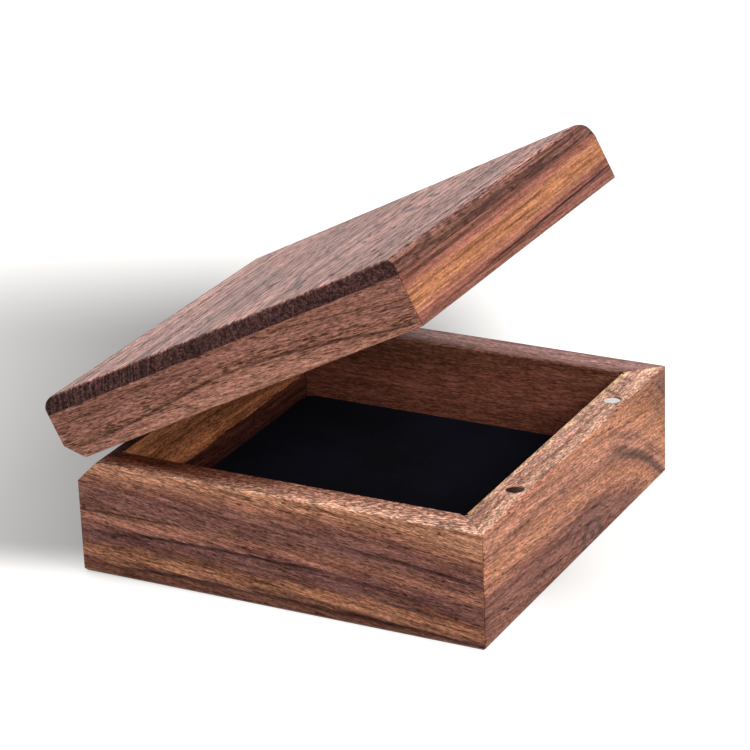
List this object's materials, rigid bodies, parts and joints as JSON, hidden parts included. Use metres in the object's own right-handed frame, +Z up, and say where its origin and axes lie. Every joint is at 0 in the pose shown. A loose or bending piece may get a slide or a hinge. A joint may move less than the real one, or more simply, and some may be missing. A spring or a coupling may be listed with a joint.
{
  "type": "hinged display box",
  "caption": "Low square walnut box with a padded velvet tray and a lid on concealed barrel hinges, held shut by magnets.",
  "frame": {"origin": "middle of the tray's flat underside, where the box stands", "axes": "+Z up, +X along the hinge line to the right, +Y from the magnets towards the hinges"},
  "size_m": [0.1296, 0.1385, 0.1109],
  "materials": {
    "walnut": "sanded walnut with a satin oil finish",
    "grey_board": "uncoated pressed board",
    "black_velvet": "short-pile blue-black velvet over thin foam",
    "nickel_plate": "bright nickel plating",
    "brass": "turned and milled, satin"
  },
  "bodies": {
    "base": {"front_board": "walnut", "left_board": "walnut", "right_board": "walnut", "hinge_board": "walnut", "floor_panel": "walnut", "pad_board": "grey_board", "velvet_pad": "black_velvet", "tray_magnet_left": "nickel_plate", "tray_magnet_right": "nickel_plate", "tray_barrel_left": "brass", "tray_barrel_right": "brass", "tray_hinge_pins": "brass"},
    "hinge_links": {"hinge_link_left": "brass", "hinge_link_right": "brass"},
    "lid": {"lid_panel": "walnut", "lid_front_rail": "walnut", "lid_left_rail": "walnut", "lid_right_rail": "walnut", "lid_hinge_rail": "walnut", "lid_magnet_left": "nickel_plate", "lid_magnet_right": "nickel_plate", "lid_barrel_left": "brass", "lid_barrel_right": "brass", "lid_hinge_pins": "brass"}
  },
  "joints": [
    {"name": "link_swing", "type": "hinge", "parent": "base", "child": "hinge_links", "pos_m": [0, 0.06239, 0.0321], "axis": [-1, 0, 0], "range_deg": [-27.4, 20.1]},
    {"name": "lid_swing", "type": "hinge", "parent": "hinge_links", "child": "lid", "pos_m": [0, 0.06561, 0.03831], "axis": [-1, 0, 0], "range_deg": [0, 47.5]}
  ]
}
